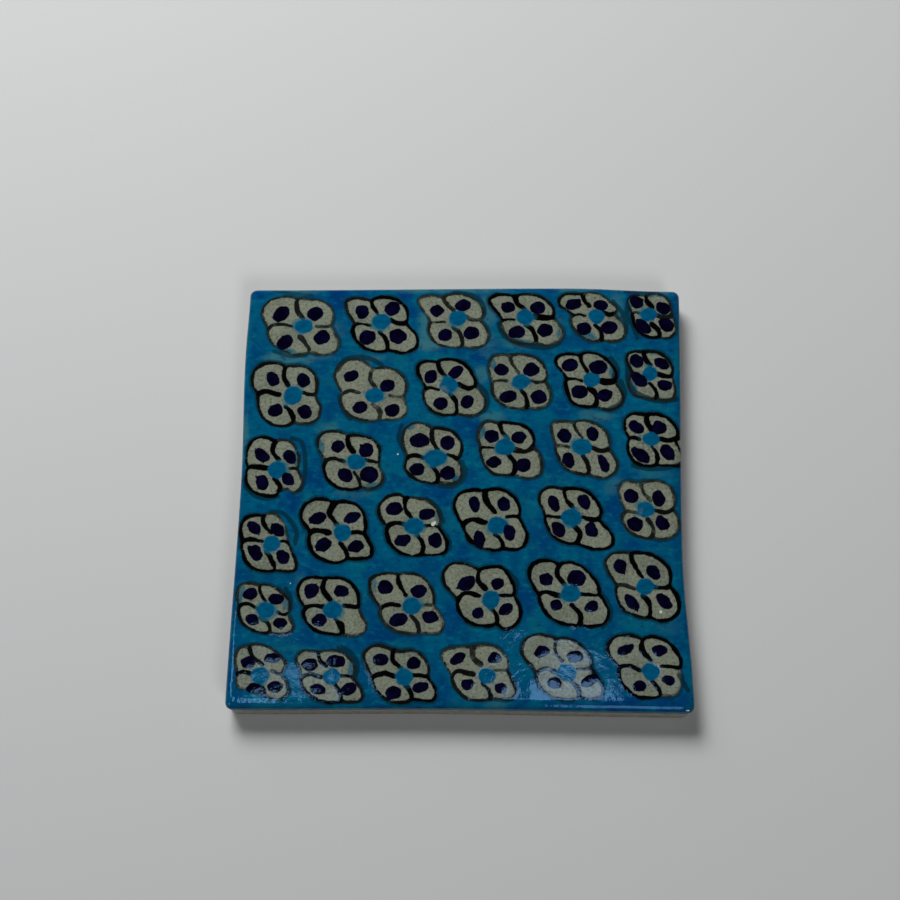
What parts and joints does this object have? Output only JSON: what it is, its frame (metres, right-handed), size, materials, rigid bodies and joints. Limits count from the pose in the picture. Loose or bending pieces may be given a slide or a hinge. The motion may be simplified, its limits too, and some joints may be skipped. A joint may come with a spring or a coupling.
{
  "type": "azulejo tile",
  "caption": "Hand-made square glazed wall tile, painted by brush with rows of four-petal flowers on a blue ground, soft rounded edges and a flat unglazed back.",
  "frame": {"origin": "centre of the flat back face, under the middle of the square that the tile fits in", "axes": "+Z out of the glazed face, +X to the right along the front edge, +Y from the front edge to the back edge, with the tile lying on its back"},
  "size_m": [0.15, 0.15, 0.01],
  "materials": {
    "glazed_ceramic": "gloss"
  },
  "bodies": {
    "root": {"tile": "glazed_ceramic"}
  },
  "joints": []
}
